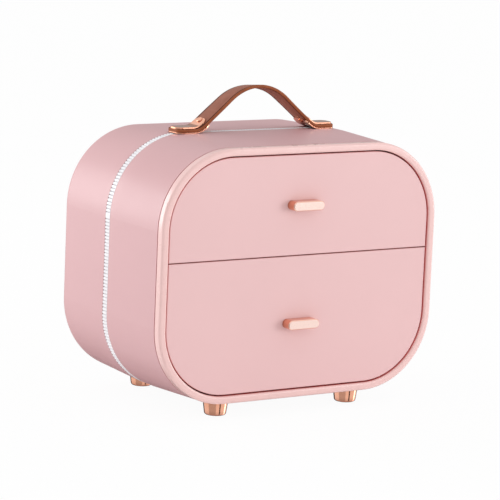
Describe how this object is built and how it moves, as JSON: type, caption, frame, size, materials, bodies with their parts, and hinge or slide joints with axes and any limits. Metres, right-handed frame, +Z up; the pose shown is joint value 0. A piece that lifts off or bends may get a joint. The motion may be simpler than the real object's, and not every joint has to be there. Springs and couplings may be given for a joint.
{
  "type": "makeup storage case",
  "caption": "Portable rounded-square makeup storage case with drawers, bar knobs, short feet, a ribbed trim band and an arched strap handle.",
  "frame": {"origin": "middle of the overall box, on the table under the feet", "axes": "+X to the right seen from the front, +Y to the back, +Z up; the drawers open towards -Y"},
  "size_m": [0.2952, 0.1826, 0.2841],
  "materials": {
    "shell": "satin pink moulded plastic",
    "rim": "glossy pink moulded plastic",
    "drawer_face": "satin pink moulded plastic",
    "inner": "matt pink plastic",
    "trim": "white moulded trim",
    "rose_gold": "polished rose-gold plating",
    "strap_leather": "smooth brown leather with dark painted edges",
    "screw_steel": "zinc-plated screws"
  },
  "bodies": {
    "case": {"front_bezel": "rim", "front_shell": "shell", "rear_shell": "shell", "trim_band": "trim", "middle_shelf": "inner", "upper_runner_left": "inner", "upper_runner_right": "inner", "lower_runner_left": "inner", "lower_runner_right": "inner", "case_screws": "screw_steel", "foot_front_left": "rose_gold", "foot_front_right": "rose_gold", "foot_rear_left": "rose_gold", "foot_rear_right": "rose_gold", "foot_screws": "screw_steel", "handle_strap": "strap_leather", "handle_base_left": "rose_gold", "handle_base_right": "rose_gold", "handle_cover_left": "rose_gold", "handle_cover_right": "rose_gold", "handle_rivet_left": "rose_gold", "handle_rivet_right": "rose_gold", "handle_screws": "screw_steel"},
    "upper_drawer": {"upper_drawer_rail_left": "inner", "upper_drawer_rail_right": "inner", "upper_drawer_front": "drawer_face", "upper_drawer_tray": "inner", "upper_knob": "rose_gold", "upper_knob_screws": "screw_steel"},
    "lower_drawer": {"lower_drawer_rail_left": "inner", "lower_drawer_rail_right": "inner", "lower_drawer_front": "drawer_face", "lower_drawer_tray": "inner", "lower_knob": "rose_gold", "lower_knob_screws": "screw_steel"}
  },
  "joints": [
    {"name": "upper_drawer_slide", "type": "slide", "parent": "case", "child": "upper_drawer", "axis": [0, -1, 0], "range_m": [0, 0.095]},
    {"name": "lower_drawer_slide", "type": "slide", "parent": "case", "child": "lower_drawer", "axis": [0, -1, 0], "range_m": [0, 0.095]}
  ]
}
